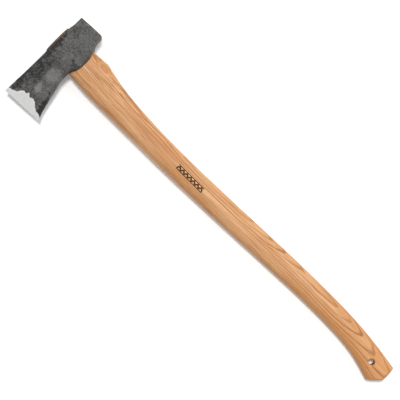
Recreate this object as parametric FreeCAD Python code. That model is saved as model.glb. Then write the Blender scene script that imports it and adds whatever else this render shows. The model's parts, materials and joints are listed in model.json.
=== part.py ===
"""Splitting maul: a forged steel head hung on a curved hickory handle.

Four pieces: the head, the handle whose tenon fills the head's eye, the wooden
wedge that spreads the tenon, and the steel ring wedge that locks both.

The maul is drawn about the centre of the eye, with X along the handle to the butt,
Y from the cutting edge to the poll and Z up through the cheeks. At the end it is
moved so that it lies on Z = 0, under the middle of its length and width.
"""

import FreeCAD
import Part
import math
import os

Vector = FreeCAD.Vector
ORIGIN = Vector(0, 0, 0)
X_AXIS = Vector(1, 0, 0)
Y_AXIS = Vector(0, 1, 0)
Z_AXIS = Vector(0, 0, 1)

# Head, in its own frame: x along the eye, y from the edge to the poll.
HANG_ANGLE = 2.7          # degrees, from the handle's frame to the head's
EDGE_Y = -124.8           # cutting edge
POLL_Y = 54.5             # striking face
FORGED_EDGE_Y = -128.5    # end of the forging before the edge is ground
EDGE_LAND = 0.4           # width of the honed edge
BEVEL_HALF_ANGLE = 21.5   # degrees, each ground face from the middle plane
CHEEK_FLAT = 28.5         # the flats beside the eye, from the middle plane
RIDGE_X = -4.0            # the raised line down the middle of each cheek
RIDGE_RADIUS = 14.0
SECTION_STEP = 3.0        # between the sections of the forging

# Outline of the head seen square to a cheek: (y, x).
TOP_OUTLINE = [(FORGED_EDGE_Y, -39.8), (-100, -36.9), (-66, -33.8), (-36, -31.2),
               (-10, -30.0), (8, -28.9), (22, -28.2), (29, -27.4), (36, -25.6),
               (46, -24.9), (POLL_Y, -24.6)]
BOTTOM_OUTLINE = [(FORGED_EDGE_Y, 40.0), (-112, 33.1), (-95, 29.1), (-69, 23.8),
                  (-46, 19.6), (-35, 19.7), (-26, 22.6), (-16, 28.4), (-4, 31.1),
                  (8, 31.5), (19, 29.8), (27, 26.9), (34, 23.3), (42, 22.1),
                  (47, 22.4), (51, 21.6), (POLL_Y, 15.5)]
# Half thickness of the head: (y, z) on the ridge, and on the narrow sides.
RIDGE_HALF = [(FORGED_EDGE_Y, 2.2), (-117, 5.0), (-100, 9.9), (-80, 15.0), (-60, 20.4),
              (-40, 25.8), (-26, 28.3), (-10, 29.3), (10, 29.3), (24, 27.7), (34, 26.1),
              (46, 25.5), (POLL_Y, 24.2)]
SIDE_HALF = [(FORGED_EDGE_Y, 1.2), (-118, 2.8), (-100, 6.0), (-80, 9.7), (-60, 14.2),
             (-40, 19.8), (-26, 24.6), (-10, 27.2), (10, 27.4), (24, 26.2), (34, 25.1),
             (46, 24.5), (POLL_Y, 23.1)]
# Corner radii of the sections: (y, r) on the top side and on the bottom side.
TOP_RADIUS = [(FORGED_EDGE_Y, 0.5), (-99, 1.6), (-40, 3.0), (-26, 6.0), (-10, 8.0),
              (14, 8.0), (30, 4.0), (40, 2.4), (POLL_Y, 2.0)]
BOTTOM_RADIUS = [(FORGED_EDGE_Y, 0.5), (-99, 1.6), (-40, 3.0), (-26, 4.0), (20, 4.5),
                 (34, 3.0), (POLL_Y, 2.0)]

# Eye of the head: (x, length along y, width along z, middle y).
EYE_SECTIONS = [(-36, 53.0, 29.0, -1.0), (8, 52.0, 25.0, -1.5), (40, 55.5, 26.5, -2.5)]
EYE_SQUARENESS = 2.5      # exponent of the oval, 2 is an ellipse

# Handle: (X, upper edge Y, lower edge Y, thickness).
NECK_STATIONS = [(14, 25.5, -29.0, 27.0), (32, 26.2, -31.0, 30.0), (60, 28.2, -33.1, 30.5)]
SHAFT_STATIONS = [NECK_STATIONS[-1], (72, 25.5, -33.6, 30.2), (97, 20.2, -33.8, 29.6),
                  (140, 14.9, -33.8, 29.0), (190, 11.8, -33.5, 28.6),
                  (250, 10.9, -33.0, 28.2), (318, 12.0, -31.2, 28.0),
                  (390, 14.2, -28.6, 27.6), (470, 17.2, -25.2, 27.2),
                  (550, 19.5, -22.1, 27.0), (610, 20.0, -21.1, 27.0),
                  (660, 18.7, -22.7, 27.4), (700, 15.7, -27.3, 28.2),
                  (730, 12.0, -35.0, 29.0), (752, 8.7, -41.6, 29.6),
                  (780, 4.0, -51.0, 30.0)]
HANDLE_SQUARENESS = 2.35
OVAL_POINTS = 32
TENON_INNER_END = 24.0    # inside the eye, where the tenon runs into the neck
TENON_END = -32.4         # the tenon stands about 3 mm out of the head
BUTT_X = 767.3            # end face
BUTT_CORNER_Y = -20.3     # where the end face meets the slanted cut under it
BUTT_CUT = (746.3, -41.0)  # where the slanted cut leaves the lower edge
BUTT_ROUNDING = 2.2
HOLE_CENTRE = Vector(732.0, -12.5, 0)
HOLE_RADIUS = 5.0
HOLE_STRAIGHT = 26.4      # length of the straight wall between the countersinks
COUNTERSINK_SLOPE = 1.0   # 45 degrees
HOLE_TURN = 45.0          # degrees; keeps the seam of the drilled wall off the handle's long seams
LEAST_WOOD_DRILLED = 2300.0  # mm3 that leave the handle with the hole and its countersinks

# Wooden wedge in the tenon's saw kerf, and the ring wedge across both.
WEDGE_TOP_WIDTH = 8.0
WEDGE_TIP_WIDTH = 2.2
WEDGE_DEPTH = 46.0
KERF_DEPTH = 52.0
RING_CENTRE_Y = -2.5
RING_RADIUS = 9.5
RING_TIP_RADIUS = 9.1
RING_TOP_WALL = 2.6
RING_TIP_WALL = 1.0
RING_DEPTH = 24.0
RING_SUNK = 0.8           # below the end of the tenon

BEYOND = 80.0             # reaches past the piece that is being cut


def smooth(points):
    """A curve through the (position, value) points that never overshoots them."""
    places, values = zip(*points)
    slopes = [(b - a) / (q - p)
              for p, q, a, b in zip(places, places[1:], values, values[1:])]
    tangents = [slopes[0]]
    for before, after in zip(slopes, slopes[1:]):
        same_way = before * after > 0
        tangents.append(2 * before * after / (before + after) if same_way else 0.0)
    tangents.append(slopes[-1])

    def value(place):
        i = max(k for k in range(len(slopes)) if k == 0 or places[k] <= place)
        width = places[i + 1] - places[i]
        t = (place - places[i]) / width
        return ((1 + 2 * t) * (1 - t) ** 2 * values[i]
                + t * (1 - t) ** 2 * width * tangents[i]
                + t * t * (3 - 2 * t) * values[i + 1]
                + t * t * (t - 1) * width * tangents[i + 1])

    return value


def oval(centre, length, width, squareness):
    """A closed wire square to X: a superellipse, its length along Y and its width along Z."""
    points = []
    for k in range(OVAL_POINTS):
        angle = 2 * math.pi * k / OVAL_POINTS
        c, s = math.cos(angle), math.sin(angle)
        across = math.copysign(abs(c) ** (2 / squareness), c) * length / 2
        up = math.copysign(abs(s) ** (2 / squareness), s) * width / 2
        points.append(centre + Y_AXIS * across + Z_AXIS * up)
    curve = Part.BSplineCurve()
    curve.interpolate(points, PeriodicFlag=True)
    return Part.Wire([curve.toShape()])


def rounded_polygon(corners, radii):
    """A closed wire of straight runs joined by tangent arcs, one arc at each corner."""
    arcs, starts, ends = [], [], []
    for i, corner in enumerate(corners):
        before = (corners[i - 1] - corner).normalize()
        after = (corners[(i + 1) % len(corners)] - corner).normalize()
        half = before.getAngle(after) / 2
        reach = radii[i] / math.tan(half)
        inward = (before + after).normalize()
        middle = corner + inward * (radii[i] / math.sin(half) - radii[i])
        starts.append(corner + before * reach)
        ends.append(corner + after * reach)
        arcs.append(Part.Arc(starts[-1], middle, ends[-1]).toShape())
    edges = []
    for i, arc in enumerate(arcs):
        run = Part.LineSegment(ends[i], starts[(i + 1) % len(starts)]).toShape()
        edges += [arc, run]
    return Part.Wire(edges)


def prism(corners, along):
    """A solid from a flat outline, pushed along a vector."""
    return Part.Face(Part.makePolygon(corners + corners[:1])).extrude(along)


def hung(shape):
    """Turns a shape from the head's own frame to the handle's frame."""
    turned = shape.copy()
    turned.rotate(ORIGIN, Z_AXIS, HANG_ANGLE)
    return turned


def forging():
    """The head before its eye is punched and its edge is ground."""
    top, bottom = smooth(TOP_OUTLINE), smooth(BOTTOM_OUTLINE)
    ridge, side = smooth(RIDGE_HALF), smooth(SIDE_HALF)
    top_radius, bottom_radius = smooth(TOP_RADIUS), smooth(BOTTOM_RADIUS)
    length = POLL_Y - FORGED_EDGE_Y
    count = round(length / SECTION_STEP)
    sections = []
    for k in range(count + 1):
        y = FORGED_EDGE_Y + length * k / count
        corners = [Vector(top(y), y, side(y)), Vector(RIDGE_X, y, ridge(y)),
                   Vector(bottom(y), y, side(y)), Vector(bottom(y), y, -side(y)),
                   Vector(RIDGE_X, y, -ridge(y)), Vector(top(y), y, -side(y))]
        radii = [top_radius(y), RIDGE_RADIUS, bottom_radius(y)]
        sections.append(rounded_polygon(corners, radii + radii[::-1]))
    return Part.makeLoft(sections, True, False)


def ground_wedge():
    """The space between the two ground faces of the edge."""
    reach = POLL_Y + BEYOND - EDGE_Y
    rise = reach * math.tan(math.radians(BEVEL_HALF_ANGLE)) + EDGE_LAND / 2
    corners = [Vector(-BEYOND, EDGE_Y, -EDGE_LAND / 2),
               Vector(-BEYOND, EDGE_Y, EDGE_LAND / 2),
               Vector(-BEYOND, EDGE_Y + reach, rise),
               Vector(-BEYOND, EDGE_Y + reach, -rise)]
    return prism(corners, X_AXIS * 2 * BEYOND)


def cheek_flats():
    """The space between the flats beside the eye."""
    corner = Vector(-BEYOND, -2 * BEYOND, -CHEEK_FLAT)
    return Part.makeBox(2 * BEYOND, 4 * BEYOND, 2 * CHEEK_FLAT, corner)


def eye_space():
    """The space of the eye, running out past both ends of the head."""
    return Part.makeLoft([oval(Vector(x, y, 0), length, width, EYE_SQUARENESS)
                          for x, length, width, y in EYE_SECTIONS], True, False)


def make_head():
    body = forging().common(ground_wedge()).common(cheek_flats())
    return hung(body.cut(eye_space()))


def wedge_space():
    """The tapered space that the wooden wedge takes up, out past the tenon's sides."""
    start = EYE_SECTIONS[0][0]
    tip = TENON_END + WEDGE_DEPTH
    corners = [Vector(start, -BEYOND, -WEDGE_TOP_WIDTH / 2),
               Vector(start, -BEYOND, WEDGE_TOP_WIDTH / 2),
               Vector(tip, -BEYOND, WEDGE_TIP_WIDTH / 2),
               Vector(tip, -BEYOND, -WEDGE_TIP_WIDTH / 2)]
    return hung(prism(corners, Y_AXIS * 2 * BEYOND))


def kerf_space():
    """The wedge's space and the empty end of the saw cut under its tip."""
    start = EYE_SECTIONS[0][0]
    corner = Vector(start, -BEYOND, -WEDGE_TIP_WIDTH / 2)
    saw_cut = Part.makeBox(TENON_END + KERF_DEPTH - start, 2 * BEYOND, WEDGE_TIP_WIDTH, corner)
    return wedge_space().fuse(hung(saw_cut))


def eye_filling():
    """What fills the eye: it ends square to the handle, just outside the head."""
    corner = Vector(TENON_END, -BEYOND, -BEYOND)
    reach = Part.makeBox(TENON_INNER_END - TENON_END, 2 * BEYOND, 2 * BEYOND, corner)
    return hung(eye_space()).common(reach)


def make_ring_wedge():
    """A short steel tube, thick at the struck end and sharp at the end driven in."""
    top = TENON_END + RING_SUNK
    tip = TENON_END + RING_DEPTH
    section = [Vector(top, RING_RADIUS, 0), Vector(tip, RING_TIP_RADIUS, 0),
               Vector(tip, RING_TIP_RADIUS - RING_TIP_WALL, 0),
               Vector(top, RING_RADIUS - RING_TOP_WALL, 0)]
    ring = Part.Face(Part.makePolygon(section + section[:1])).revolve(ORIGIN, X_AXIS, 360)
    ring.translate(Y_AXIS * RING_CENTRE_Y)
    return ring


def ring_space():
    """The ring wedge and the shallow groove that it leaves above itself."""
    centre = Vector(TENON_END - RING_SUNK, RING_CENTRE_Y, 0)
    outer = Part.makeCylinder(RING_RADIUS, 2 * RING_SUNK, centre, X_AXIS)
    inner = Part.makeCylinder(RING_RADIUS - RING_TOP_WALL, 2 * RING_SUNK, centre, X_AXIS)
    return make_ring_wedge().fuse(outer.cut(inner))


def make_wooden_wedge():
    return eye_filling().common(wedge_space()).cut(ring_space())


def handle_run(stations, straight):
    """A stretch of the handle through its stations, with straight or curved sides."""
    sections = [oval(Vector(x, (upper + lower) / 2, 0), upper - lower, thickness,
                     HANDLE_SQUARENESS)
                for x, upper, lower, thickness in stations]
    return Part.makeLoft(sections, True, straight)


def butt_offcut():
    """What is sawn off the butt: a square cut, and a slanted one under it."""
    corner = Vector(BUTT_X, BUTT_CORNER_Y, -BEYOND)
    slant = Vector(BUTT_CUT[0] - BUTT_X, BUTT_CUT[1] - BUTT_CORNER_Y, 0).normalize()
    below = corner + slant * BEYOND
    corners = [Vector(BUTT_X, BEYOND, -BEYOND), corner, below,
               Vector(BUTT_X + BEYOND, below.y, -BEYOND),
               Vector(BUTT_X + BEYOND, BEYOND, -BEYOND)]
    return prism(corners, Z_AXIS * 2 * BEYOND)


def round_butt(shaft):
    """Eases every edge of the two sawn faces at the butt."""
    edges = [edge for edge in shaft.Edges if edge.BoundBox.XMax > BUTT_CUT[0] + 1]
    edges = [edge for edge in edges if edge.BoundBox.XMin > HOLE_CENTRE.x]
    return shaft.makeFillet(BUTT_ROUNDING, edges)


def lanyard_hole():
    """The lanyard hole with a countersink at each end."""
    half = HOLE_STRAIGHT / 2
    flare = HOLE_RADIUS + COUNTERSINK_SLOPE * half
    space = Part.makeCylinder(HOLE_RADIUS, HOLE_STRAIGHT, HOLE_CENTRE - Z_AXIS * half, Z_AXIS)
    for up in (Z_AXIS, -Z_AXIS):
        space = space.fuse(Part.makeCone(HOLE_RADIUS, flare, half, HOLE_CENTRE + up * half, up))
    space.rotate(HOLE_CENTRE, Z_AXIS, HOLE_TURN)
    return space


def drill(shaft):
    """Drills the lanyard hole, and stops the build if the wood is still there."""
    drilled = shaft.cut(lanyard_hole())
    if shaft.Volume - drilled.Volume < LEAST_WOOD_DRILLED:
        raise ValueError("the lanyard hole was not cut")
    return drilled


def make_handle(head):
    shaft = drill(round_butt(handle_run(SHAFT_STATIONS, False).cut(butt_offcut())))
    neck = handle_run(NECK_STATIONS, True)
    whole = neck.fuse(shaft).cut(head).fuse(eye_filling())
    return whole.cut(kerf_space()).cut(ring_space())


def lay_down(shapes):
    """Moves the shapes together so that the origin is under the middle of their box."""
    boxes = [shape.optimalBoundingBox(True, False) for shape in shapes]
    low_x, high_x = min(b.XMin for b in boxes), max(b.XMax for b in boxes)
    low_y, high_y = min(b.YMin for b in boxes), max(b.YMax for b in boxes)
    move = Vector(-(low_x + high_x) / 2, -(low_y + high_y) / 2, CHEEK_FLAT)
    for shape in shapes:
        shape.translate(move)
    return move


def main():
    head = make_head()
    parts = {"head": head, "handle": make_handle(head),
             "wooden_wedge": make_wooden_wedge(), "ring_wedge": make_ring_wedge()}
    move = lay_down(list(parts.values()))
    print("eye centre", move)
    os.makedirs("parts", exist_ok=True)
    for name, shape in parts.items():
        shape.exportStep(f"parts/{name}.step")


main()
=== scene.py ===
"""Looks of a splitting maul that lies on its cheek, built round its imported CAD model.

Lengths are millimetres in the code that shapes the pieces, and metres in Blender.
The handle's frame is centred in the head's eye: X to the butt, Y to the poll, Z up.
The head's frame is the same one, turned to the angle that the head hangs at.
"""

import json
import math

import bmesh
import bpy
import numpy as np
from mathutils import Matrix, Vector, noise
from mathutils.bvhtree import BVHTree


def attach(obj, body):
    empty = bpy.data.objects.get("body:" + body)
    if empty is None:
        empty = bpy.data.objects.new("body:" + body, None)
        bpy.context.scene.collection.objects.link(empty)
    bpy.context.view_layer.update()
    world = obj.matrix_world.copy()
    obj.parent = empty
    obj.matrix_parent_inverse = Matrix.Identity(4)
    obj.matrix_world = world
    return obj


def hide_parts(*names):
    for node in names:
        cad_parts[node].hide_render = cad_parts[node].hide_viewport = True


MM = 0.001
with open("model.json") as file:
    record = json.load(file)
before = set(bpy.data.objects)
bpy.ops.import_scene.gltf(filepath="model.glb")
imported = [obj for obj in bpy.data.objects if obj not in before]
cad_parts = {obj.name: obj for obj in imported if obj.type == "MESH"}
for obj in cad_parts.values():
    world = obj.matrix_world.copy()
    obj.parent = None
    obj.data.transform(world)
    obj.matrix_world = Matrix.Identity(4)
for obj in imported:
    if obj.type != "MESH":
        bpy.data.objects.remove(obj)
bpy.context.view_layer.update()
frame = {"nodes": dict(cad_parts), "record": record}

# ---------------------------------------------------------------- places from the frame
mounts = {mount["name"]: mount for mount in frame["record"]["mounts"]}
hole = Vector(mounts["lanyard_hole"]["pos_m"])
cheek = Vector(mounts["cheek_rest"]["pos_m"])
poll_axis = Vector(mounts["poll_face"]["axis"])
EYE = Vector((cheek.x, cheek.y, hole.z))
HANG = math.atan2(-poll_axis.x, poll_axis.y)
handle_to_row = Matrix.Translation(EYE) @ Matrix.Scale(MM, 4)
head_to_row = handle_to_row @ Matrix.Rotation(HANG, 4, "Z")


# ---------------------------------------------------------------- short ways to write nodes
class Shader:
    """A material, with short calls to add its nodes."""

    def __init__(self, name):
        self.material = bpy.data.materials.new(name)
        self.material.use_nodes = True
        self.tree = self.material.node_tree
        self.tree.nodes.clear()

    def add(self, kind, inputs=None, **settings):
        new = self.tree.nodes.new("ShaderNode" + kind)
        for key, value in settings.items():
            setattr(new, key, value)
        for key, value in (inputs or {}).items():
            if isinstance(value, bpy.types.NodeSocket):
                self.tree.links.new(value, new.inputs[key])
            else:
                new.inputs[key].default_value = value
        return new

    def math(self, operation, *values, clamp=False):
        new = self.add("Math", dict(enumerate(values)), operation=operation, use_clamp=clamp)
        return new.outputs[0]

    def place(self, to_row):
        """Coordinates in the frame that to_row leads from, in millimetres."""
        from_row = to_row.inverted()
        coordinates = self.add("TexCoord").outputs["Object"]
        mapping = self.add("Mapping", {
            "Vector": coordinates, "Location": from_row.to_translation(),
            "Rotation": from_row.to_euler(), "Scale": from_row.to_scale()})
        return mapping.outputs[0]

    def split(self, vector):
        return self.add("SeparateXYZ", {0: vector}).outputs

    def stretch(self, vector, scale):
        """The vector times scale, for detail that is longer one way than another."""
        return self.add("VectorMath", {0: vector, 1: scale}, operation="MULTIPLY").outputs[0]

    def noise(self, vector, scale, detail=2.0, rough=0.5, seed=0.0):
        """Noise from 0 to 1."""
        new = self.add("TexNoise", {"Vector": vector, "W": seed, "Scale": scale,
                                    "Detail": detail, "Roughness": rough},
                       noise_dimensions="4D")
        return new.outputs["Fac"]

    def ramp(self, value, low, high, out_low=0.0, out_high=1.0, smooth=True):
        """value from low..high to out_low..out_high, held at both ends."""
        new = self.add("MapRange", {"Value": value, "From Min": low, "From Max": high,
                                    "To Min": out_low, "To Max": out_high})
        new.interpolation_type = "SMOOTHSTEP" if smooth else "LINEAR"
        return new.outputs[0]

    def mix(self, factor, a, b, blend="MIX"):
        new = self.add("Mix", {"Factor": factor}, data_type="RGBA", blend_type=blend)
        for key, value in ((6, a), (7, b)):
            if isinstance(value, bpy.types.NodeSocket):
                self.tree.links.new(value, new.inputs[key])
            else:
                new.inputs[key].default_value = (*value, 1.0)
        return new.outputs[2]

    def finish(self, colour, roughness, metallic=0.0, height=None, depth=0.1, **fixed):
        """Ends the material. depth is the bump's height in millimetres."""
        inputs = {"Base Color": colour, "Roughness": roughness, "Metallic": metallic}
        inputs.update({key.replace("_", " "): value for key, value in fixed.items()})
        if height is not None:
            bump = self.add("Bump", {"Height": height, "Distance": depth * MM})
            inputs["Normal"] = bump.outputs[0]
        surface = self.add("BsdfPrincipled", inputs)
        self.add("OutputMaterial", {"Surface": surface.outputs[0]})
        return self.material


def use(piece, material):
    """Gives the piece this material and no other."""
    piece.data.materials.clear()
    piece.data.materials.append(material)


# ---------------------------------------------------------------- the head's shape
EDGE_MARGIN = 0.02        # keeps the rays just inside the solid
SECTION_STEP = 0.9
WALL_STEPS = 22           # from the middle of a narrow side to its corner
FACE_STEPS = 88           # across a cheek
FACE_RAYS = 200
RAY_START = 200.0
RIDGE_X = -4.0            # the raised line down the middle of a cheek
EYE_HALF_HEIGHT = 16.0    # just above the eye's opening
EYE_REACH = 33.0          # just past the eye's ends
EYE_MIDDLE = (-1.5, 0.0)
EYE_STATIONS = (-24.0, 8.0, 18.0)
POLL_RINGS = 30
POLL_CROWN = 0.5
POLL_ROUNDING = 0.9
POLL_EDGE = 0.04          # how much of the poll's face its rounded edge takes
GROUND_FROM = -88.0       # no ground bevel on the poll's side of this
GROUND_STEP = 0.3         # the forged skin lies this much under the ground plane
GROUND_FADE = 1.2         # and gets there over this length
JAG_SCALE, JAG_HEIGHT = 0.45, 1.3   # raggedness of the bevel's limit
JAG_SEED = 7.0
WALL_INSET = 0.4          # heights are read this far inside the narrow sides
RELIEF_FADE = 12.0        # the relief of the skin grows over this length from the edge
BEVEL_MARGIN = 0.05
EDGE_OFFSETS = [0.0, 0.35, 0.8, 1.4, 2.1]   # the first rings, from the cutting edge
POLL_TIP = 0.03           # size of the last ring on the poll's face
EYE_ANGLES = 144
EYE_WALL_POINTS = 8
# Flare of the eye's rims: (distance inward from the narrow side, widening).
EYE_TOP_FLARE = [(-8, 4.5), (-1.0, 2.4), (0.2, 1.5), (0.7, 0.95), (1.3, 0.5), (2.1, 0.15), (3.2, 0)]
EYE_BOTTOM_FLARE = [(-1.6, 0), (-0.8, 0.15), (-0.2, 0.5), (0.4, 1.0), (8, 4.0)]
EYE_WALL_ENDS = (5, 3)    # the straight wall starts and ends this far from the narrow sides
# Relief of the forged skin: (noise scale, its shift, depth), and how much of it is levelled off.
SKIN_RELIEF = [(0.055, (0, 0, 0), 0.35), (0.16, (31, 7, 5), 0.30), (0.55, (3, 57, 9), 0.12)]
SKIN_LEVEL = 0.15
# Where the ground bevel ends on a cheek: (x, y), from the toe to the heel.
GROUND_LIMIT = [(-38, -117), (-31, -115.2), (-23, -112.5), (-18, -105.5), (-13, -103.2),
                (-9, -104.6), (-5.5, -99.6), (0, -105.2), (6, -103.2), (12, -105.4),
                (17, -111), (24, -116), (30, -116.4), (38, -121)]


def local_tree(node, to_row):
    """A CAD node's surface for rays, in a local frame and in millimetres."""
    mesh = frame["nodes"][node].data
    from_row = to_row.inverted()
    points = [from_row @ vertex.co for vertex in mesh.vertices]
    return BVHTree.FromPolygons(points, [face.vertices for face in mesh.polygons]), points


def evenly(line, steps):
    """The line's points moved to be evenly spaced along it."""
    lengths = np.hypot(*np.diff(line, axis=0).T)
    along = np.concatenate([[0.0], np.cumsum(lengths)])
    wanted = np.linspace(0, along[-1], steps + 1)
    return np.stack([np.interp(wanted, along, line[:, k]) for k in (0, 1)], axis=1)


def smoothstep(low, high, value):
    t = np.clip((value - low) / (high - low), 0.0, 1.0)
    return t * t * (3 - 2 * t)


class HeadSampler:
    """Reads the CAD head in its own frame."""

    def __init__(self):
        self.tree, points = local_tree("head", head_to_row)
        self.edge_y = min(p.y for p in points)
        self.poll_y = max(p.y for p in points)
        near, far = self.edge_y + 1.0, self.edge_y + 5.0
        rise = self.height(0, far) - self.height(0, near)
        self.bevel_slope = rise / (far - near)
        self.bevel_start = self.height(0, near) - self.bevel_slope * (near - self.edge_y)

    def height(self, x, y):
        hit = self.tree.ray_cast(Vector((x, y, RAY_START)), Vector((0, 0, -1)))[0]
        return hit.z if hit else 0.0

    def bevel(self, y):
        """Half thickness between the ground planes."""
        return self.bevel_start + self.bevel_slope * (y - self.edge_y)

    def wall(self, y, side):
        """x of the narrow side on side -1 or 1, read above the eye's opening."""
        z = EYE_HALF_HEIGHT if abs(y) < EYE_REACH else 0.3 * self.height(RIDGE_X, y)
        start = Vector((side * RAY_START, y, z))
        return self.tree.ray_cast(start, Vector((-side, 0, 0)))[0].x

    def upper_half(self, y):
        """(x, z) points from the middle of the top side, over the cheek, to the bottom."""
        y = min(max(y, self.edge_y + EDGE_MARGIN), self.poll_y - EDGE_MARGIN)
        low, high = self.wall(y, -1), self.wall(y, 1)
        steps = (1 - np.cos(np.linspace(0, math.pi, FACE_RAYS))) / 2
        xs = low + EDGE_MARGIN + (high - low - 2 * EDGE_MARGIN) * steps
        face = np.array([(x, self.height(x, y)) for x in xs])
        face[0, 0], face[-1, 0] = low, high
        middle = FACE_RAYS // 2
        first = int(np.argmax(face[:middle, 1] - face[:middle, 0]))
        last = middle + int(np.argmax(face[middle:, 1] + face[middle:, 0]))
        up = np.vstack([[(low, 0.0)], face[: first + 1]])
        down = np.vstack([face[last:], [(high, 0.0)]])
        runs = [(up, WALL_STEPS), (face[first: last + 1], FACE_STEPS), (down, WALL_STEPS)]
        parts = [evenly(run, count)[:-1] for run, count in runs]
        return np.vstack(parts + [down[-1:]])

    def eye_radius(self, x, angle):
        """From the eye's middle line out to its wall, between or past the stations."""
        known = [self.radii[station][angle] for station in EYE_STATIONS]
        first, middle, last = EYE_STATIONS
        if x < middle:
            return known[0] + (known[1] - known[0]) * (x - first) / (middle - first)
        return known[1] + (known[2] - known[1]) * (x - middle) / (last - middle)

    def read_eye(self, angles):
        self.radii = {}
        for station in EYE_STATIONS:
            start = Vector((station, *EYE_MIDDLE))
            self.radii[station] = [
                self.tree.ray_cast(start, Vector((0, math.cos(a), math.sin(a))))[3]
                for a in angles]


def head_rings(sampler):
    """Rings of points round the head, from the cutting edge to the poll's rounded edge."""
    length = sampler.poll_y - POLL_ROUNDING - POLL_CROWN - sampler.edge_y
    start = EDGE_OFFSETS[-1]
    count = round((length - start) / SECTION_STEP)
    rest = start + (length - start) * np.arange(1, count + 1) / count
    rings = []
    for offset in [*EDGE_OFFSETS, *rest]:
        y = sampler.edge_y + offset
        half = sampler.upper_half(y)
        loop = np.vstack([half, half[-2:0:-1] * (1, -1)])
        rings.append(np.column_stack([loop[:, 0], np.full(len(loop), y), loop[:, 1]]))
    return rings


def add_poll(rings):
    """Carries the last ring in over a slightly crowned face with a rounded edge."""
    outer = rings[-1]
    centre = outer.mean(axis=0)
    top = centre[1] + POLL_ROUNDING + POLL_CROWN
    reach = np.concatenate([np.linspace(1, 1 - POLL_EDGE, 5)[1:],
                            np.linspace(1 - POLL_EDGE, POLL_TIP, POLL_RINGS)[1:]])
    for shrink in reach:
        ring = centre + (outer - centre) * shrink
        rim = max(0.0, (shrink - 1 + POLL_EDGE) / POLL_EDGE)
        drop = POLL_ROUNDING * (1 - math.sqrt(1 - rim * rim)) + POLL_CROWN * shrink ** 2
        ring[:, 1] = top - drop
        rings.append(ring)
    centre[1] = top
    return centre


def grind(points, sampler):
    """Makes the ground bevel flat up to its ragged limit, and sinks the skin past it."""
    limit_x, limit_y = zip(*GROUND_LIMIT)
    for p in points:
        x, y, z = p
        if y > GROUND_FROM or abs(z) < 1e-6:
            continue
        side = 1 if z > 0 else -1
        jag = noise.noise(Vector((x * JAG_SCALE, y * JAG_SCALE, side * JAG_SEED))) * JAG_HEIGHT
        past = y - np.interp(side * x, limit_x, limit_y) - jag
        plane = sampler.bevel(y)
        inside = min(max(x, sampler.wall_low(y) + WALL_INSET), sampler.wall_high(y) - WALL_INSET)
        old = sampler.height(inside, y)
        if past < 0:
            new = plane
        else:
            new = min(old, plane - GROUND_STEP * (1 - math.exp(-past / GROUND_FADE)))
        if old > 0.05:
            p[2] = z * new / old


def forge_relief(point):
    """How far the forged skin lies under the drawn surface, in millimetres."""
    total = sum(depth * (noise.noise(point * scale + Vector(shift)) * 0.5 + 0.5)
                for scale, shift, depth in SKIN_RELIEF)
    return max(0.0, total - SKIN_LEVEL)


def build_head():
    sampler = HeadSampler()
    rings = head_rings(sampler)
    places = [ring[0, 1] for ring in rings]
    lows = [ring[:, 0].min() for ring in rings]
    highs = [ring[:, 0].max() for ring in rings]
    sampler.wall_low = lambda y: np.interp(y, places, lows)
    sampler.wall_high = lambda y: np.interp(y, places, highs)
    around = len(rings[0])
    half = around // 2
    centre = add_poll(rings)
    points = np.vstack(rings + [centre[None]])
    grind(points, sampler)
    faces = []
    for r in range(len(rings) - 1):
        for k in range(around):
            a, b = r * around + k, r * around + (k + 1) % around
            faces.append((a, a + around, b + around, b))
    tip = len(points) - 1
    last = (len(rings) - 1) * around
    faces += [(last + k, tip, last + (k + 1) % around) for k in range(around)]
    for k in range(half):
        rim = (k, k + 1, (around - k - 1) % around, (around - k) % around)
        faces.append(tuple(dict.fromkeys(rim)))
    mesh = bpy.data.meshes.new("maul_head")
    mesh.from_pydata(points.tolist(), [], faces)
    outward(mesh)
    normals = [vertex.normal.copy() for vertex in mesh.vertices]
    for vertex, normal in zip(mesh.vertices, normals):
        if abs(vertex.co.z) < sampler.bevel(vertex.co.y) - BEVEL_MARGIN:
            strength = smoothstep(0.0, RELIEF_FADE, vertex.co.y - sampler.edge_y)
            vertex.co -= normal * forge_relief(vertex.co) * strength
    piece = bpy.data.objects.new("maul_head", mesh)
    bpy.context.scene.collection.objects.link(piece)
    cut_eye(piece, sampler)
    piece.data.transform(head_to_row)
    piece.data.shade_smooth()
    return piece


def cut_eye(piece, sampler):
    """Cuts the eye, its walls as in the CAD head and its rims rounded."""
    angles = np.linspace(0, 2 * math.pi, EYE_ANGLES, endpoint=False)
    sampler.read_eye(angles)
    points = []
    for k, angle in enumerate(angles):
        y = EYE_MIDDLE[0] + sampler.eye_radius(0, k) * math.cos(angle)
        low, high = sampler.wall_low(y), sampler.wall_high(y)
        line = [(low + dx, flare) for dx, flare in EYE_TOP_FLARE]
        ends = low + EYE_WALL_ENDS[0], high - EYE_WALL_ENDS[1]
        line += [(x, 0) for x in np.linspace(*ends, EYE_WALL_POINTS)]
        line += [(high + dx, flare) for dx, flare in EYE_BOTTOM_FLARE]
        for x, flare in line:
            r = sampler.eye_radius(x, k) + flare
            points.append((x, EYE_MIDDLE[0] + r * math.cos(angle), r * math.sin(angle)))
    rows = len(line)
    faces = []
    for k in range(len(angles)):
        n = (k + 1) % len(angles)
        faces += [(k * rows + j, k * rows + j + 1, n * rows + j + 1, n * rows + j)
                  for j in range(rows - 1)]
    faces.append([k * rows for k in range(len(angles))])
    faces.append([k * rows + rows - 1 for k in reversed(range(len(angles)))])
    mesh = bpy.data.meshes.new("eye")
    mesh.from_pydata(points, [], faces)
    cutter = bpy.data.objects.new("eye", mesh)
    bpy.context.scene.collection.objects.link(cutter)
    for made in (piece, cutter):
        outward(made.data)
    boolean = piece.modifiers.new("eye", "BOOLEAN")
    boolean.operation = "DIFFERENCE"
    boolean.solver = "EXACT"
    boolean.object = cutter
    apply_modifiers(piece)
    bpy.data.objects.remove(cutter)


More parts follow.
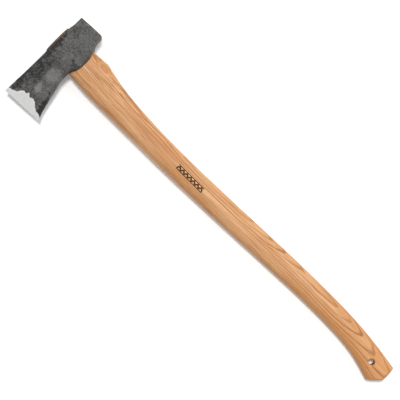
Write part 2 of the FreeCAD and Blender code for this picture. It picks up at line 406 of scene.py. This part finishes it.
def outward(mesh):
    """Turns a mesh's faces to the outside."""
    work = bmesh.new()
    work.from_mesh(mesh)
    bmesh.ops.recalc_face_normals(work, faces=work.faces)
    work.to_mesh(mesh)
    work.free()


def apply_modifiers(piece):
    """Bakes a piece's modifiers into its mesh."""
    bpy.context.view_layer.update()
    shape = piece.evaluated_get(bpy.context.evaluated_depsgraph_get())
    mesh = bpy.data.meshes.new_from_object(shape)
    piece.modifiers.clear()
    piece.data = mesh


# ---------------------------------------------------------------- the handle's shape
HANDLE_VOXEL = 1.0        # size of the remesh, in millimetres
HANDLE_SMOOTHING = 6      # rounds of smoothing, each by half


def build_handle():
    """The CAD handle with its edges, hole and cuts softened, as wood that was sanded and oiled."""
    mesh = frame["nodes"]["handle"].data.copy()
    mesh.name = "maul_handle"
    piece = bpy.data.objects.new("maul_handle", mesh)
    bpy.context.scene.collection.objects.link(piece)
    remesh = piece.modifiers.new("skin", "REMESH")
    remesh.mode = "VOXEL"
    remesh.voxel_size = HANDLE_VOXEL * MM
    soften = piece.modifiers.new("sand", "SMOOTH")
    soften.factor = 0.5
    soften.iterations = HANDLE_SMOOTHING
    apply_modifiers(piece)
    piece.data.shade_smooth()
    return piece


# ---------------------------------------------------------------- materials
BLACK_OXIDE = (0.012, 0.012, 0.012)
DARK_OXIDE = (0.030, 0.030, 0.029)
PALE_OXIDE = (0.235, 0.234, 0.230)
BROWN_TINT = (1.06, 0.99, 0.94)
BLUE_TINT = (0.96, 1.00, 1.01)
GROUND_DARK = (0.55, 0.55, 0.545)
GROUND_LIGHT = (0.87, 0.87, 0.865)
LIMIT_LOW, LIMIT_HIGH = -124.0, -96.0   # reach of the bevel's limit along y
CHEEK_REACH = 38.0        # and along x, to each side
TONE_BASE = -0.27         # the oxide's tone without its noises
# Noises of the forge scale: scale, detail, roughness, seed and share of the tone.
SCALE_NOISES = {"broad": (0.045, 3.0, 0.55, 1.0, 0.16), "mottle": (0.17, 4.0, 0.68, 2.0, 0.28),
                "grain": (0.40, 3.0, 0.70, 3.0, 0.48), "specks": (1.1, 2.0, 0.70, 6.0, 0.24)}
RIDGE_SLOPE = -0.046      # the ridge's lean along the cheek
RIDGE_SHIFT = -3.4        # the painted change from shade to light lies this far to the side of the ridge
TONES_START, TONES_END = (-36, -46), (-104, -92)   # where it fades in and out, along y
# Places on a cheek made brighter: centre, half size, turn in degrees, strength.
BRIGHTER_PLACES = [((6.5, -51), (17, 12), 60, 0.37), ((0.0, -82), (6.5, 11), 8, 0.42),
          ((12, -72), (9, 24), 10, 0.06), ((4, -6), (20, 26), 0, 0.02),
          ((-13, -88), (9, 10), 0, 0.07), ((8, 34), (12, 12), 20, 0.02)]
# Places that stay darker, as painted shade on the rounded rims by the eye and the narrow sides and on
# the cheek's −x half.
PAINTED_SHADE = [((-24, -62), (19, 46), -3, 0.11), ((28, -104), (6, 26), 12, 0.42),
          ((-27, -6), (8, 34), 0, 0.32), ((27, -30), (7, 28), 20, 0.16),
          ((-14, 30), (12, 18), 0, 0.07), ((-33, -90), (5, 34), 4, 0.12),
          ((-17, -36), (12, 14), 0, 0.09)]


def ellipse(s, x, y, centre, size, turn=0.0):
    """0 at the middle of an ellipse and 1 on its rim."""
    c, n = math.cos(math.radians(turn)), math.sin(math.radians(turn))
    dx = s.math("SUBTRACT", x, centre[0])
    dy = s.math("SUBTRACT", y, centre[1])
    along = s.math("MULTIPLY_ADD", dx, c / size[0], s.math("MULTIPLY", dy, n / size[0]))
    across = s.math("MULTIPLY_ADD", dx, -n / size[1], s.math("MULTIPLY", dy, c / size[1]))
    square = s.math("MULTIPLY", across, across)
    return s.math("SQRT", s.math("MULTIPLY_ADD", along, along, square))


def spots(s, x, y, places, ripple):
    """The sum of soft elliptical places, their rims broken up by ripple."""
    total = 0.0
    for centre, size, turn, strength in places:
        edge = s.math("ADD", ellipse(s, x, y, centre, size, turn), ripple)
        total = s.math("ADD", total, s.ramp(edge, 0.65, 1.05, strength, 0.0))
    return total


def ground_mask(s, place, x, y, z):
    """1 on the ground bevel and 0 on the forged skin, with a ragged limit between."""
    sided = s.math("MULTIPLY", x, s.math("SIGN", z))
    curve = s.add("FloatCurve", {"Value": s.ramp(sided, -CHEEK_REACH, CHEEK_REACH, smooth=False)})
    graph = curve.mapping.curves[0]
    for k, (px, py) in enumerate(GROUND_LIMIT):
        spot = ((px + CHEEK_REACH) / (2 * CHEEK_REACH), (py - LIMIT_LOW) / (LIMIT_HIGH - LIMIT_LOW))
        if k < 2:
            graph.points[k].location = spot
        else:
            graph.points.new(*spot)
    for point in graph.points:
        point.handle_type = "VECTOR"
    curve.mapping.update()
    limit = s.ramp(curve.outputs[0], 0, 1, LIMIT_LOW, LIMIT_HIGH, smooth=False)
    ragged = s.math("MULTIPLY", s.math("SUBTRACT", s.noise(place, 0.5, 3.0, 0.6, 4.0), 0.5), 4.0)
    past = s.math("SUBTRACT", y, s.math("ADD", limit, ragged))
    return s.ramp(past, -0.25, 0.25, 1.0, 0.0)


def forged_steel():
    """Dark forge scale with places made brighter, painted shade and painted light, and the bright
    ground bevel.
    """
    s = Shader("forged_steel")
    place = s.place(head_to_row)
    x, y, z = s.split(place)
    # forge scale, hammered, with places made brighter and painted shade and light
    layers = {}
    tone = TONE_BASE
    for name, (scale, detail, rough, seed, share) in SCALE_NOISES.items():
        layers[name] = s.ramp(s.noise(place, scale, detail, rough, seed), 0.3, 0.7, smooth=False)
        tone = s.math("MULTIPLY_ADD", layers[name], share, tone)
    coarse = s.math("ADD", layers["grain"], layers["mottle"])
    ripple = s.math("SUBTRACT", layers["mottle"], 0.5)
    # the places listed above are made brighter
    tone = s.math("ADD", tone, spots(s, x, y, BRIGHTER_PLACES, ripple))
    # painted shade: the places listed above are darkened
    tone = s.math("SUBTRACT", tone, spots(s, x, y, PAINTED_SHADE, ripple))
    past_ridge = s.math("SUBTRACT", x, s.math("MULTIPLY_ADD", y, RIDGE_SLOPE, RIDGE_X + RIDGE_SHIFT))
    below_eye = s.math("MULTIPLY", s.ramp(y, *TONES_START), s.ramp(y, *TONES_END))
    # painted shade on the cheek's −x side of the ridge and painted light on its +x side, below the eye
    ridge_shade_and_light = s.math("MULTIPLY", s.ramp(past_ridge, -0.8, 0.8, -0.10, 0.05), below_eye)
    tone = s.math("ADD", tone, ridge_shade_and_light, clamp=True)
    dark = s.mix(s.math("MULTIPLY", coarse, 0.5), BLACK_OXIDE, DARK_OXIDE)
    oxide = s.mix(tone, dark, PALE_OXIDE)
    tint = s.mix(s.ramp(s.noise(place, 0.09, 3.0, 0.6, 8.0), 0.38, 0.62), BROWN_TINT, BLUE_TINT)
    oxide = s.mix(1.0, oxide, tint, blend="MULTIPLY")
    # ground bevel
    ground = ground_mask(s, place, x, y, z)
    lines = s.noise(s.stretch(place, (2.6, 0.10, 0.10)), 1.0, 3.0, 0.75, 5.0)
    bright = s.mix(s.ramp(lines, 0.3, 0.7, smooth=False), GROUND_DARK, GROUND_LIGHT)
    colour = s.mix(ground, oxide, bright)
    rough = s.math("MULTIPLY_ADD", ground, -0.08, s.ramp(tone, 0.1, 0.9, 0.66, 0.52, smooth=False))
    metal = s.math("MULTIPLY", ground, 0.12)
    skin = s.math("MULTIPLY", coarse, s.math("SUBTRACT", 1.0, ground))
    scratches = s.math("MULTIPLY", s.math("MULTIPLY", lines, 0.12), ground)
    return s.finish(colour, rough, metal, s.math("ADD", skin, scratches), 0.35,
                    Specular_IOR_Level=0.3)


LIGHT_WOOD = (0.89, 0.565, 0.300)
BASE_WOOD = (0.685, 0.360, 0.158)
RED_WOOD = (0.575, 0.262, 0.108)
RING_LINE = (0.330, 0.125, 0.036)
PORE_LINE = (0.200, 0.074, 0.022)
AMBER_WOOD_AND_SHADE = (0.590, 0.245, 0.070)   # towards the butt, and on the −Y side as painted shade
OILED_END_AND_SHADE = (0.30, 0.22, 0.17)
WEDGE_DARK, WEDGE_LIGHT = (0.20, 0.095, 0.040), (0.36, 0.20, 0.095)
WEDGE_PORE = (0.05, 0.022, 0.010)
BROWNED_STEEL, BARE_STEEL = (0.19, 0.15, 0.12), (0.55, 0.545, 0.535)
STEEL_GRIT = (0.12, 0.09, 0.07)
BURNT = (0.052, 0.019, 0.006)
# The middle of the tree in y and z, over most of the handle and at its butt.
PITH = ((-115.0, -62.0), (-60.0, -105.0))
RING_WIDTH = 2.6
LEAN, LEAN_RUN = 22.0, 110.0   # the rings bend by this much at the eye, fading over this length
BUTT_LEAN, BUTT_SPAN = -26.0, (470, 780)   # and by this much over the stretch to the butt
SWAY, WAVE = 24.0, 4.5    # how far they wander, in long swings and in short ones
PITH_SHIFTS_FROM, PITH_SHIFTS_TO = 400, 640
KNOT = ((61, 18), (20, 8.5), -9)   # centre, half size, turn
KNOT_PUSH = 13.0          # how far it pushes the rings aside
THREADS_FADE = (160, 340)   # the dark threads grow fainter over this stretch
AMBER_SPAN = (500, 760)   # and the wood redder over this one, on a slant that brings it in sooner on the −Y side as painted shade
TENON_TIP = (-24.0, -20.0)   # the oiled end of the tenon, darkened as oiled end grain and as painted shade beside the head
BAND_MIDDLE = (295.0, -10.0)
BAND_HALF = (29.75, 4.1)
ZIGZAG_PITCH, ZIGZAG_RISE = 8.5, 4.6
# The burn is full up to the first distance from a stroke's middle, and gone at the second.
ZIGZAG_STROKE, LINE_STROKE = (1.8, 2.2), (0.6, 0.9)


def burnt_band(s, x, y, z):
    """A zigzag between two lines, burnt in on the upper side of the handle."""
    along = s.math("SUBTRACT", x, BAND_MIDDLE[0])
    across = s.math("SUBTRACT", y, BAND_MIDDLE[1])
    wave = s.math("PINGPONG", s.math("ADD", along, BAND_HALF[0]), ZIGZAG_PITCH / 2)
    target = s.math("MULTIPLY_ADD", wave, 2 * ZIGZAG_RISE / ZIGZAG_PITCH, -ZIGZAG_RISE / 2)
    off_zigzag = s.math("ABSOLUTE", s.math("SUBTRACT", across, target))
    zigzag = s.ramp(off_zigzag, *ZIGZAG_STROKE, 1.0, 0.0)
    off_line = s.math("ABSOLUTE", s.math("SUBTRACT", s.math("ABSOLUTE", across), BAND_HALF[1]))
    line = s.ramp(off_line, *LINE_STROKE, 1.0, 0.0)
    end = s.ramp(s.math("ABSOLUTE", along), BAND_HALF[0], BAND_HALF[0] + 0.3, 1.0, 0.0)
    mask = s.math("MULTIPLY", s.math("MAXIMUM", zigzag, line), end)
    return s.math("MULTIPLY", mask, s.ramp(z, 0.0, 1.0))


def tree_rings(s, place, x, y, z):
    """0 in the pale late wood and up to 1 on each ring's porous line, and each ring's own tone."""
    sway = s.noise(s.stretch(place, (0.0042, 0.012, 0.012)), 1.0, 1.0, 0.5, 11.0)
    wave = s.noise(s.stretch(place, (0.018, 0.05, 0.05)), 1.0, 2.0, 0.5, 12.0)
    shift = s.math("MULTIPLY", s.math("EXPONENT", s.math("DIVIDE", x, -LEAN_RUN)), -LEAN)
    shift = s.math("MULTIPLY_ADD", s.math("SUBTRACT", sway, 0.5), SWAY, shift)
    shift = s.math("MULTIPLY_ADD", s.math("SUBTRACT", wave, 0.5), WAVE, shift)
    centre, size, turn = KNOT
    knot = s.math("MULTIPLY", s.ramp(ellipse(s, x, y, centre, size, turn), 0.0, 1.1, 1.0, 0.0),
                  s.ramp(z, -4, 4))
    shift = s.math("MULTIPLY_ADD", knot, KNOT_PUSH, shift)
    shift = s.math("ADD", shift, s.ramp(x, *BUTT_SPAN, 0.0, BUTT_LEAN, smooth=False))
    (mid_y, mid_z), (butt_y, butt_z) = PITH
    pith_y = s.ramp(x, PITH_SHIFTS_FROM, PITH_SHIFTS_TO, mid_y, butt_y)
    pith_z = s.ramp(x, PITH_SHIFTS_FROM, PITH_SHIFTS_TO, mid_z, butt_z)
    from_pith_y = s.math("SUBTRACT", s.math("ADD", y, shift), pith_y)
    from_pith_z = s.math("SUBTRACT", z, pith_z)
    square = s.math("MULTIPLY", from_pith_z, from_pith_z)
    distance = s.math("SQRT", s.math("MULTIPLY_ADD", from_pith_y, from_pith_y, square))
    years = s.add("TexNoise", {"W": s.math("MULTIPLY", distance, 0.05), "Scale": 1.0, "Detail": 1.0},
                  noise_dimensions="1D").outputs["Fac"]
    phase = s.math("MULTIPLY_ADD", years, 3.0, s.math("DIVIDE", distance, RING_WIDTH))
    ring = s.math("FRACT", phase)
    each = s.add("TexWhiteNoise", {"W": s.math("FLOOR", phase)}, noise_dimensions="1D").outputs["Value"]
    line = s.math("MULTIPLY", s.ramp(ring, 0.0, 0.08), s.ramp(ring, 0.14, 0.42, 1.0, 0.0))
    line = s.math("MULTIPLY", line, s.ramp(each, 0, 1, 0.45, 1.0, smooth=False))
    return line, each, knot


def hickory():
    """Oiled hickory with its rings, pores and knot, and the burnt band."""
    s = Shader("hickory")
    place = s.place(handle_to_row)
    x, y, z = s.split(place)
    line, each, knot = tree_rings(s, place, x, y, z)
    fibres = s.noise(s.stretch(place, (0.010, 0.42, 0.42)), 1.0, 4.0, 0.75, 13.0)
    pores = s.noise(s.stretch(place, (0.05, 1.5, 1.5)), 1.0, 2.0, 0.6, 14.0)
    pore = s.math("MULTIPLY", s.ramp(pores, 0.52, 0.66), s.math("MULTIPLY_ADD", line, 0.70, 0.30))
    threads = s.noise(s.stretch(place, (0.007, 0.85, 0.85)), 1.0, 2.0, 0.6, 17.0)
    broad = s.noise(s.stretch(place, (0.006, 0.06, 0.06)), 1.0, 2.0, 0.5, 15.0)
    body = s.mix(s.ramp(broad, 0.36, 0.64), BASE_WOOD, LIGHT_WOOD)
    body = s.mix(s.ramp(each, 0, 1, 0.0, 0.5, smooth=False), body, RED_WOOD)
    body = s.mix(s.ramp(fibres, 0.40, 0.62, 0.0, 0.8, smooth=False), body, RED_WOOD)
    thread = s.math("MULTIPLY", s.ramp(threads, 0.50, 0.62), s.ramp(x, *THREADS_FADE, 0.82, 0.34))
    thread = s.math("MULTIPLY", thread, s.ramp(knot, 0.02, 0.30, 1.0, 0.15))
    body = s.mix(thread, body, RING_LINE)
    body = s.mix(s.ramp(knot, 0.35, 0.80, 0.0, 0.75), body, RED_WOOD)
    # redder towards the butt as the wood's own colour, and sooner on the −Y side as painted shade
    butt_amber_and_low_shade = s.ramp(s.math("MULTIPLY_ADD", y, -4.0, x), *AMBER_SPAN, 0.0, 0.55)
    body = s.mix(butt_amber_and_low_shade, body, AMBER_WOOD_AND_SHADE)
    body = s.mix(s.math("MULTIPLY", line, 0.90), body, RING_LINE)
    body = s.mix(s.math("MULTIPLY", pore, 0.80), body, PORE_LINE)
    # cut ends drink more oil, the tenon's most of all; the tenon's end is darkened also as painted
    # shade beside the head
    facing = s.math("ABSOLUTE", s.split(s.add("TexCoord").outputs["Normal"])[0])
    butt = s.math("MULTIPLY", s.ramp(facing, 0.55, 0.85), 0.45)
    end = s.math("MAXIMUM", butt, s.ramp(x, *TENON_TIP, 1.0, 0.0))
    body = s.mix(end, body, s.mix(1.0, body, OILED_END_AND_SHADE, blend="MULTIPLY"))
    band = burnt_band(s, x, y, z)
    char = s.ramp(s.noise(place, 1.2, 2.0, 0.6, 16.0), 0.3, 0.6, 0.88, 1.0, smooth=False)
    body = s.mix(s.math("MULTIPLY", band, char), body, BURNT)
    relief = s.math("SUBTRACT", s.math("MULTIPLY", fibres, 0.6), s.math("MULTIPLY", line, 0.4))
    relief = s.math("SUBTRACT", relief, s.math("MULTIPLY", pore, 0.5))
    relief = s.math("SUBTRACT", relief, s.math("MULTIPLY", band, 2.0))
    rough = s.math("MULTIPLY_ADD", band, 0.35, s.ramp(fibres, 0.2, 0.8, 0.46, 0.60))
    return s.finish(body, rough, 0.0, relief, 0.10, Specular_IOR_Level=0.25)


def wedge_wood():
    """End grain of the wooden wedge, dark with oil."""
    s = Shader("wedge_wood")
    place = s.place(handle_to_row)
    pores = s.noise(s.stretch(place, (0.08, 1.8, 1.8)), 1.0, 3.0, 0.65, 21.0)
    bands = s.noise(s.stretch(place, (0.01, 0.15, 1.3)), 1.0, 3.0, 0.6, 22.0)
    body = s.mix(s.ramp(bands, 0.35, 0.65), WEDGE_DARK, WEDGE_LIGHT)
    body = s.mix(s.ramp(pores, 0.50, 0.66, 0.0, 0.8), body, WEDGE_PORE)
    relief = s.math("SUBTRACT", bands, pores)
    return s.finish(body, s.ramp(pores, 0.3, 0.7, 0.5, 0.65), 0.0, relief, 0.25)


def wedge_steel():
    """Bare steel with hammer marks and a little brown in its hollows."""
    s = Shader("wedge_steel")
    place = s.place(handle_to_row)
    blows = s.noise(place, 0.30, 3.0, 0.55, 31.0)
    grit = s.noise(place, 1.6, 3.0, 0.7, 32.0)
    colour = s.mix(s.ramp(blows, 0.38, 0.62), BROWNED_STEEL, BARE_STEEL)
    colour = s.mix(s.ramp(grit, 0.55, 0.75, 0.0, 0.6), colour, STEEL_GRIT)
    rough = s.ramp(grit, 0.3, 0.7, 0.34, 0.56)
    return s.finish(colour, rough, 0.85, s.math("ADD", blows, s.math("MULTIPLY", grit, 0.3)), 0.4)


def studio_floor():
    """Pale floor that glows a little, so that it stays white in soft light."""
    s = Shader("floor")
    place = s.add("TexCoord").outputs["Object"]
    tone = s.ramp(s.noise(place, 900.0, 2.0, 0.6, 41.0), 0.3, 0.7, 0.895, 0.925)
    colour = s.add("CombineColor", {0: tone, 1: tone, 2: tone}).outputs[0]
    return s.finish(colour, 0.9, Emission_Color=(1, 1, 1, 1), Emission_Strength=FLOOR_GLOW)


# ---------------------------------------------------------------- stage, light and camera
FLOOR_SIZE = 60.0
HEAD_TO, BUTT_FROM = 0.1, 0.6   # metres from the eye, where the floor can touch each end
FLOOR_ROUNDS = 20         # of finding the two points that the floor touches
VIEW_HEIGHT = 3.3
VIEW_WIDTH = 0.680        # what the camera sees across, at the maul's middle plane
VIEW_FROM_EYE = (332.5, -24.0)
SENSOR = 36.0
PICTURE_TURN = 45.0       # degrees from the handle to the picture's horizontal
FLOOR_GLOW = 0.16
SKY_SEEN = 1.0            # how bright the backdrop looks, past the floor
SKY_LIGHT = 0.27          # how much light it gives


def make_floor():
    """A flat floor that the maul rests on with its cheek and its butt."""
    points = np.array([v.co for node in frame["nodes"].values() for v in node.data.vertices])
    ends = [points[points[:, 0] < EYE.x + HEAD_TO], points[points[:, 0] > EYE.x + BUTT_FROM]]
    slope = 0.0
    for _ in range(FLOOR_ROUNDS):
        head, butt = [end[(end[:, 2] - slope * end[:, 0]).argmin()] for end in ends]
        slope = (butt[2] - head[2]) / (butt[0] - head[0])
    base = head[2] - slope * head[0]
    half = FLOOR_SIZE / 2
    corners = [(x, y, base + slope * x) for x, y in
               ((-half, -half), (half, -half), (half, half), (-half, half))]
    mesh = bpy.data.meshes.new("floor")
    mesh.from_pydata(corners, [], [(0, 1, 2, 3)])
    floor = bpy.data.objects.new("floor", mesh)
    bpy.context.scene.collection.objects.link(floor)
    use(floor, studio_floor())


def make_sun(name, azimuth, elevation, strength, softness):
    """A sun at an azimuth counted from the picture's right, towards its top."""
    light = bpy.data.lights.new(name, "SUN")
    light.energy = strength
    light.angle = math.radians(softness)
    lamp = bpy.data.objects.new(name, light)
    turn = math.radians(azimuth + PICTURE_TURN)
    up = math.radians(elevation)
    towards = Vector((math.cos(turn) * math.cos(up), math.sin(turn) * math.cos(up), math.sin(up)))
    lamp.rotation_mode = "QUATERNION"
    lamp.rotation_quaternion = towards.to_track_quat("Z", "Y")
    lamp.location = towards * 3
    bpy.context.scene.collection.objects.link(lamp)


def make_world():
    """An even pale backdrop all round, which looks brighter than the light that it gives."""
    world = bpy.data.worlds.new("studio")
    world.use_nodes = True
    tree = world.node_tree
    background = tree.nodes["Background"]
    path = tree.nodes.new("ShaderNodeLightPath")
    strength = tree.nodes.new("ShaderNodeMapRange")
    strength.inputs["To Min"].default_value = SKY_LIGHT
    strength.inputs["To Max"].default_value = SKY_SEEN
    tree.links.new(path.outputs["Is Camera Ray"], strength.inputs["Value"])
    tree.links.new(strength.outputs[0], background.inputs["Strength"])
    background.inputs["Color"].default_value = (1, 1, 1, 1)
    bpy.context.scene.world = world


def make_camera():
    """A camera straight above the maul, far enough off to keep its shape undistorted."""
    data = bpy.data.cameras.new("camera")
    data.sensor_width = SENSOR
    data.lens = SENSOR * VIEW_HEIGHT / VIEW_WIDTH
    data.clip_end = 100
    camera = bpy.data.objects.new("camera", data)
    camera.location = EYE + Vector((*VIEW_FROM_EYE, 0)) * MM + Vector((0, 0, VIEW_HEIGHT))
    camera.rotation_euler = (0, 0, math.radians(PICTURE_TURN))
    bpy.context.scene.collection.objects.link(camera)
    bpy.context.scene.camera = camera


bpy.context.scene.view_settings.view_transform = "Standard"
make_camera()
make_floor()
make_world()
make_sun("key", azimuth=88, elevation=77, strength=2.15, softness=9)
make_sun("side", azimuth=40, elevation=38, strength=1.0, softness=60)

# ---------------------------------------------------------------- the maul
head = build_head()
use(head, forged_steel())
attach(head, "root")
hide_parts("head")

handle = build_handle()
use(handle, hickory())
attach(handle, "root")
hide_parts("handle")

use(frame["nodes"]["wooden_wedge"], wedge_wood())
use(frame["nodes"]["ring_wedge"], wedge_steel())
